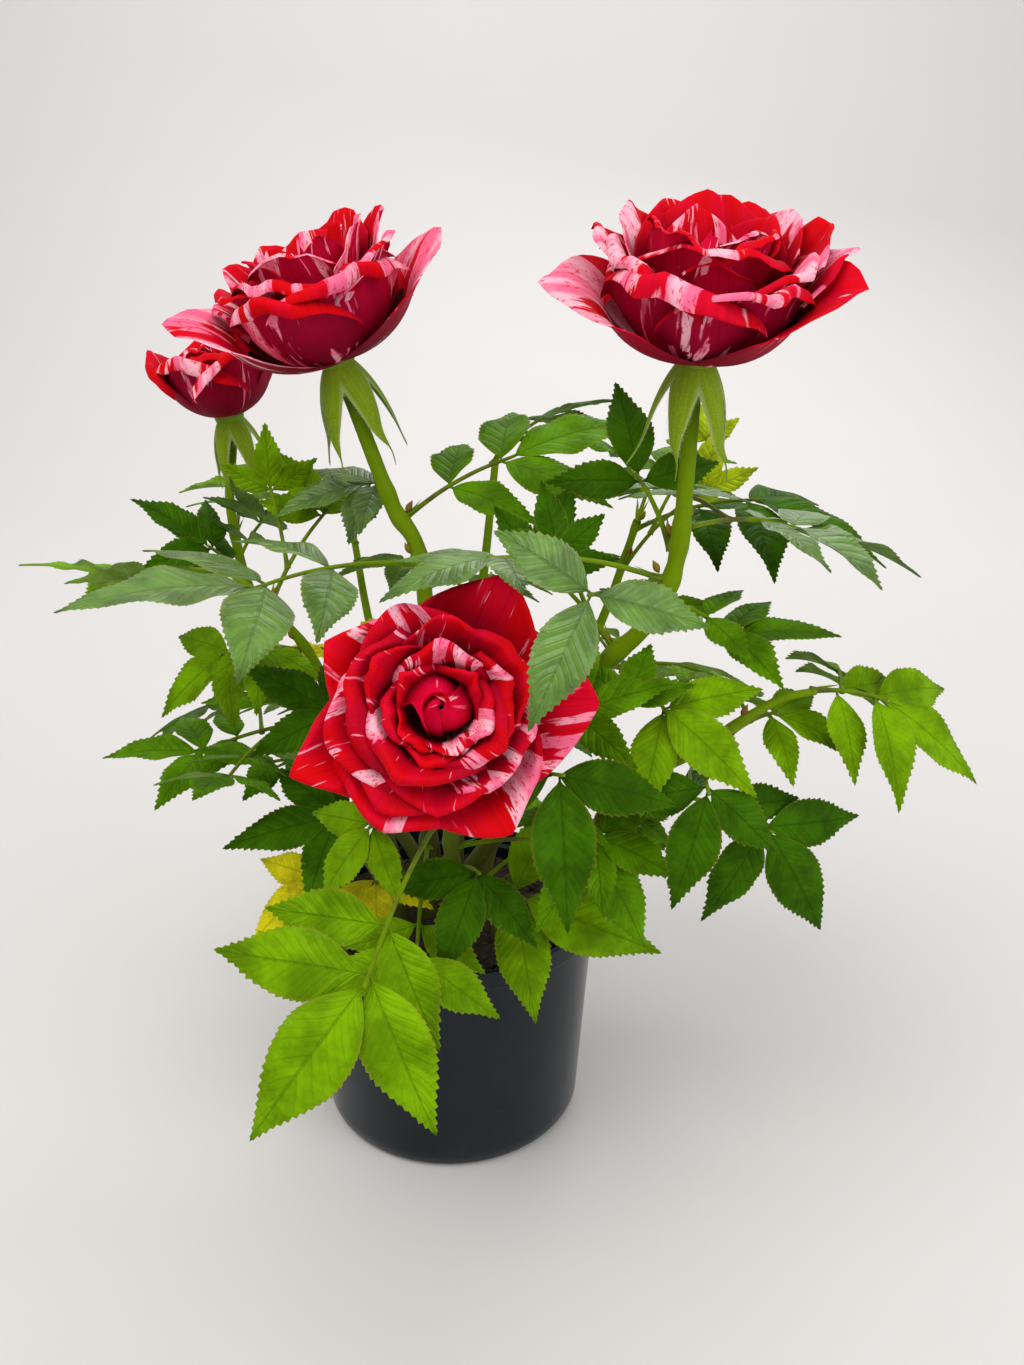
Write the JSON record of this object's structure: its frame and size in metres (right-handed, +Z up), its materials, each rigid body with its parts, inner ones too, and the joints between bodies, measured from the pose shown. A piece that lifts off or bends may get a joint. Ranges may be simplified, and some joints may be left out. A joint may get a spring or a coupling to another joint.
{
  "type": "potted rose bush",
  "caption": "Miniature rose bush with striped double blooms and serrate compound leaves, rising on thin canes from a round tapered plastic pot.",
  "frame": {"origin": "centre of the pot's flat underside, on the ground", "axes": "+Z up; -Y towards the side that the lowest, sideways-facing bloom looks to; +X to the right as seen from that side"},
  "size_m": [0.3012, 0.2934, 0.3127],
  "materials": {
    "pot": "satin dark grey polypropylene",
    "soil": "moist, coarse, matt",
    "cane": "smooth green bark",
    "petal": "velvety",
    "leaf": "satin",
    "leaf_yellow": "satin"
  },
  "bodies": {
    "root": {"bloom_front": "petal", "bloom_left": "petal", "bloom_rear": "petal", "bloom_right": "petal", "cane_front": "cane", "cane_left_low": "cane", "cane_left_tall": "cane", "cane_rear_centre": "cane", "cane_rear_left": "cane", "cane_rear_low": "cane", "cane_rear_right": "cane", "cane_right_low": "cane", "cane_right_tall": "cane", "pot": "pot", "soil": "soil", "spray_back_centre": "leaf", "spray_back_centre_low": "leaf", "spray_back_left": "leaf", "spray_back_left_end": "leaf", "spray_back_left_upper": "leaf", "spray_back_low_left": "leaf", "spray_back_right": "leaf", "spray_back_right_end": "leaf", "spray_front_behind": "leaf", "spray_front_broad": "leaf", "spray_front_dark": "leaf", "spray_front_hanging": "leaf", "spray_front_left": "leaf", "spray_front_left_low": "leaf", "spray_front_low": "leaf", "spray_front_trio": "leaf", "spray_left_bright": "leaf", "spray_left_dark": "leaf", "spray_left_gold": "leaf_yellow", "spray_left_inner": "leaf", "spray_left_low": "leaf", "spray_left_pale": "leaf", "spray_left_tall_left": "leaf", "spray_left_tall_rear": "leaf", "spray_left_tall_right": "leaf", "spray_left_thin": "leaf", "spray_left_upper": "leaf", "spray_left_vertical": "leaf", "spray_left_yellow": "leaf_yellow", "spray_middle_arch": "leaf", "spray_middle_inner": "leaf", "spray_middle_upright": "leaf", "spray_rear_top": "leaf", "spray_right_bright": "leaf", "spray_right_dark": "leaf", "spray_right_end": "leaf", "spray_right_inner": "leaf", "spray_right_low": "leaf", "spray_right_mid": "leaf", "spray_right_middle": "leaf", "spray_right_tall_upright": "leaf", "spray_right_upper": "leaf", "spray_right_upper_rear": "leaf", "spray_young": "leaf_yellow"}
  },
  "joints": []
}
